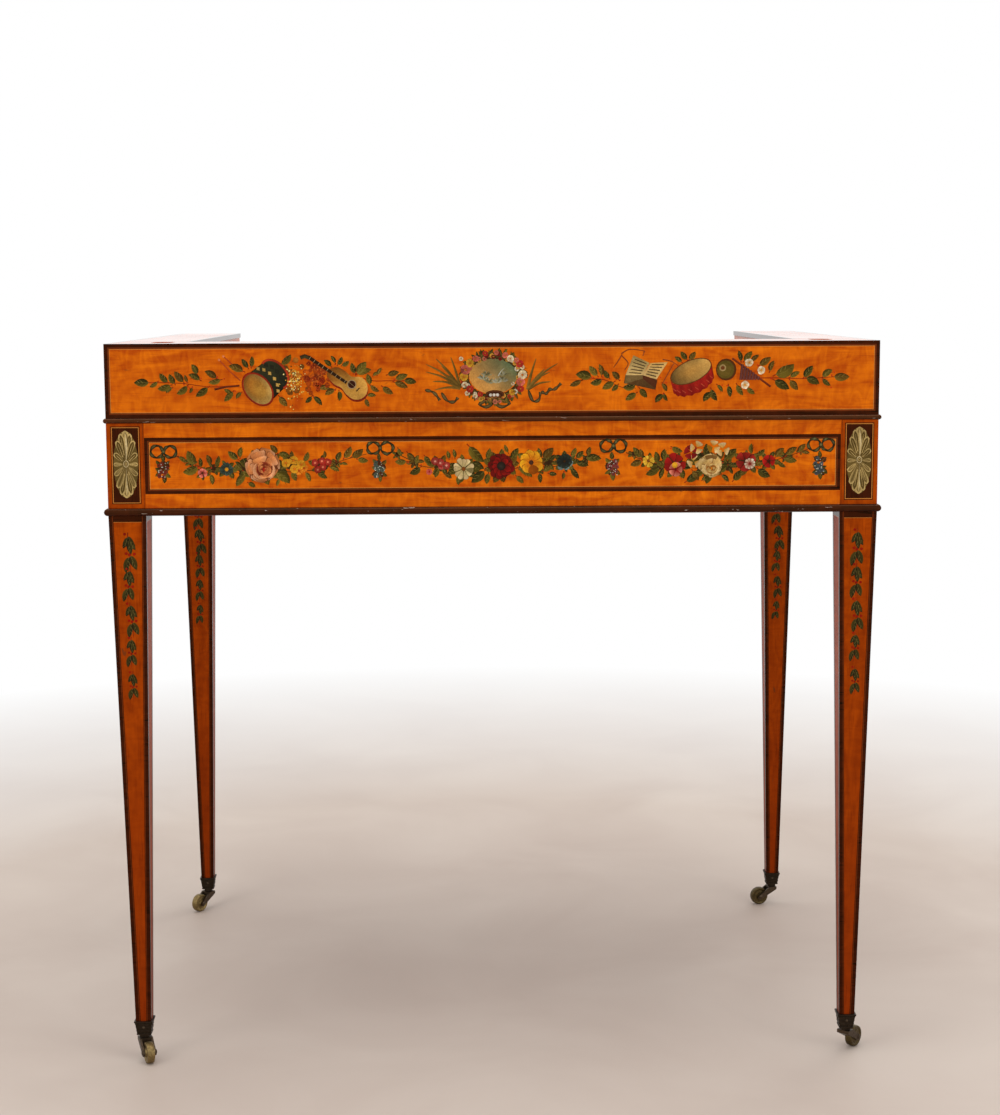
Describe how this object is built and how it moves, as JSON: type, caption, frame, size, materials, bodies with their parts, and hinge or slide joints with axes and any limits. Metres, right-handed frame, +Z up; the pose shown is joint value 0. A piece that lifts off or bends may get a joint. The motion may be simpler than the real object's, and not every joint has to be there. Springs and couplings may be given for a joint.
{
  "type": "carlton house desk",
  "caption": "Satinwood writing table with a low three-sided gallery of small drawers, frieze drawers with bail handles, square tapered legs and swivelling castors.",
  "frame": {"origin": "on the floor under the middle of the desk", "axes": "+Z up, the user sits at the -Y side and looks along +Y, +X is the user's right, the painted back faces +Y"},
  "size_m": [0.9086, 0.6777, 0.867],
  "materials": {
    "satinwood": "french polished golden veneer with dark banding and painted flowers",
    "dark_banding": "polished dark rosewood",
    "carcase_wood": "plain waxed mahogany and oak",
    "leather": "tooled green hide",
    "brass": "worn lacquered brass",
    "dark_bronze": "darkened cast brass"
  },
  "bodies": {
    "root": {"leg_back_left": "satinwood", "leg_back_right": "satinwood", "leg_front_left": "satinwood", "leg_front_right": "satinwood", "back_rail": "satinwood", "side_rail_left": "satinwood", "side_rail_right": "satinwood", "front_rail_top": "satinwood", "front_rail_bottom": "satinwood", "drawer_dividers": "satinwood", "drawer_runners": "carcase_wood", "drawer_stops": "carcase_wood", "glue_blocks": "carcase_wood", "desk_top": "satinwood", "writing_leather": "leather", "waist_bead": "dark_banding", "base_moulding": "dark_banding", "gallery_back": "satinwood", "gallery_side_left": "satinwood", "gallery_side_right": "satinwood", "gallery_inner_walls": "satinwood", "gallery_partitions": "satinwood", "gallery_top": "satinwood", "castor_cups": "dark_bronze"},
    "castor_front_left": {"castor_fork_front_left": "dark_bronze"},
    "wheel_front_left": {"castor_wheel_front_left": "brass"},
    "castor_front_right": {"castor_fork_front_right": "dark_bronze"},
    "wheel_front_right": {"castor_wheel_front_right": "brass"},
    "castor_back_left": {"castor_fork_back_left": "dark_bronze"},
    "wheel_back_left": {"castor_wheel_back_left": "brass"},
    "castor_back_right": {"castor_fork_back_right": "dark_bronze"},
    "wheel_back_right": {"castor_wheel_back_right": "brass"},
    "frieze_drawer_centre": {"frieze_drawer_centre_front": "satinwood", "frieze_drawer_centre_box": "carcase_wood", "frieze_drawer_centre_brasses": "brass"},
    "frieze_bail_centre_left": {"frieze_bail_centre_left": "brass"},
    "frieze_bail_centre_right": {"frieze_bail_centre_right": "brass"},
    "frieze_drawer_left": {"frieze_drawer_left_front": "satinwood", "frieze_drawer_left_box": "carcase_wood", "frieze_drawer_left_brasses": "brass"},
    "frieze_bail_left": {"frieze_bail_left": "brass"},
    "frieze_drawer_right": {"frieze_drawer_right_front": "satinwood", "frieze_drawer_right_box": "carcase_wood", "frieze_drawer_right_brasses": "brass"},
    "frieze_bail_right": {"frieze_bail_right": "brass"},
    "bank_drawer_centre": {"bank_drawer_centre_front": "satinwood", "bank_drawer_centre_box": "carcase_wood", "bank_drawer_centre_knob": "brass"},
    "bank_drawer_left": {"bank_drawer_left_front": "satinwood", "bank_drawer_left_box": "carcase_wood", "bank_drawer_left_knob": "brass"},
    "bank_drawer_right": {"bank_drawer_right_front": "satinwood", "bank_drawer_right_box": "carcase_wood", "bank_drawer_right_knob": "brass"},
    "wing_drawer_left": {"wing_drawer_left_front": "satinwood", "wing_drawer_left_box": "carcase_wood", "wing_drawer_left_knob": "brass"},
    "wing_drawer_right": {"wing_drawer_right_front": "satinwood", "wing_drawer_right_box": "carcase_wood", "wing_drawer_right_knob": "brass"}
  },
  "joints": [
    {"name": "castor_swivel_front_left", "type": "hinge", "parent": "root", "child": "castor_front_left", "pos_m": [-0.428, -0.303, 0.03], "axis": [0, 0, 1], "continuous": true},
    {"name": "wheel_spin_front_left", "type": "hinge", "parent": "castor_front_left", "child": "wheel_front_left", "pos_m": [-0.40868, -0.29782, 0.013], "axis": [-0.2588, 0.9659, 0], "continuous": true},
    {"name": "castor_swivel_front_right", "type": "hinge", "parent": "root", "child": "castor_front_right", "pos_m": [0.428, -0.303, 0.03], "axis": [0, 0, 1], "continuous": true},
    {"name": "wheel_spin_front_right", "type": "hinge", "parent": "castor_front_right", "child": "wheel_front_right", "pos_m": [0.43947, -0.28662, 0.013], "axis": [-0.8192, 0.5736, 0], "continuous": true},
    {"name": "castor_swivel_back_left", "type": "hinge", "parent": "root", "child": "castor_back_left", "pos_m": [-0.428, 0.303, 0.03], "axis": [0, 0, 1], "continuous": true},
    {"name": "wheel_spin_back_left", "type": "hinge", "parent": "castor_back_left", "child": "wheel_back_left", "pos_m": [-0.44112, 0.28791, 0.013], "axis": [0.7547, -0.6561, 0], "continuous": true},
    {"name": "castor_swivel_back_right", "type": "hinge", "parent": "root", "child": "castor_back_right", "pos_m": [0.428, 0.303, 0.03], "axis": [0, 0, 1], "continuous": true},
    {"name": "wheel_spin_back_right", "type": "hinge", "parent": "castor_back_right", "child": "wheel_back_right", "pos_m": [0.42051, 0.32154, 0.013], "axis": [-0.9272, -0.3746, 0], "continuous": true},
    {"name": "frieze_drawer_centre_slide", "type": "slide", "parent": "root", "child": "frieze_drawer_centre", "axis": [0, -1, 0], "range_m": [0, 0.4]},
    {"name": "frieze_bail_centre_left_hinge", "type": "hinge", "parent": "frieze_drawer_centre", "child": "frieze_bail_centre_left", "pos_m": [-0.1, -0.338, 0.7305], "axis": [-1, 0, 0], "range_deg": [0, 100]},
    {"name": "frieze_bail_centre_right_hinge", "type": "hinge", "parent": "frieze_drawer_centre", "child": "frieze_bail_centre_right", "pos_m": [0.1, -0.338, 0.7305], "axis": [-1, 0, 0], "range_deg": [0, 100]},
    {"name": "frieze_drawer_left_slide", "type": "slide", "parent": "root", "child": "frieze_drawer_left", "axis": [0, -1, 0], "range_m": [0, 0.4]},
    {"name": "frieze_bail_left_hinge", "type": "hinge", "parent": "frieze_drawer_left", "child": "frieze_bail_left", "pos_m": [-0.3, -0.338, 0.7305], "axis": [-1, 0, 0], "range_deg": [0, 100]},
    {"name": "frieze_drawer_right_slide", "type": "slide", "parent": "root", "child": "frieze_drawer_right", "axis": [0, -1, 0], "range_m": [0, 0.4]},
    {"name": "frieze_bail_right_hinge", "type": "hinge", "parent": "frieze_drawer_right", "child": "frieze_bail_right", "pos_m": [0.3, -0.338, 0.7305], "axis": [-1, 0, 0], "range_deg": [0, 100]},
    {"name": "bank_drawer_centre_slide", "type": "slide", "parent": "root", "child": "bank_drawer_centre", "axis": [0, -1, 0], "range_m": [0, 0.065]},
    {"name": "bank_drawer_left_slide", "type": "slide", "parent": "root", "child": "bank_drawer_left", "axis": [0, -1, 0], "range_m": [0, 0.065]},
    {"name": "bank_drawer_right_slide", "type": "slide", "parent": "root", "child": "bank_drawer_right", "axis": [0, -1, 0], "range_m": [0, 0.065]},
    {"name": "wing_drawer_left_slide", "type": "slide", "parent": "root", "child": "wing_drawer_left", "axis": [0, -1, 0], "range_m": [0, 0.36]},
    {"name": "wing_drawer_right_slide", "type": "slide", "parent": "root", "child": "wing_drawer_right", "axis": [0, -1, 0], "range_m": [0, 0.36]}
  ]
}
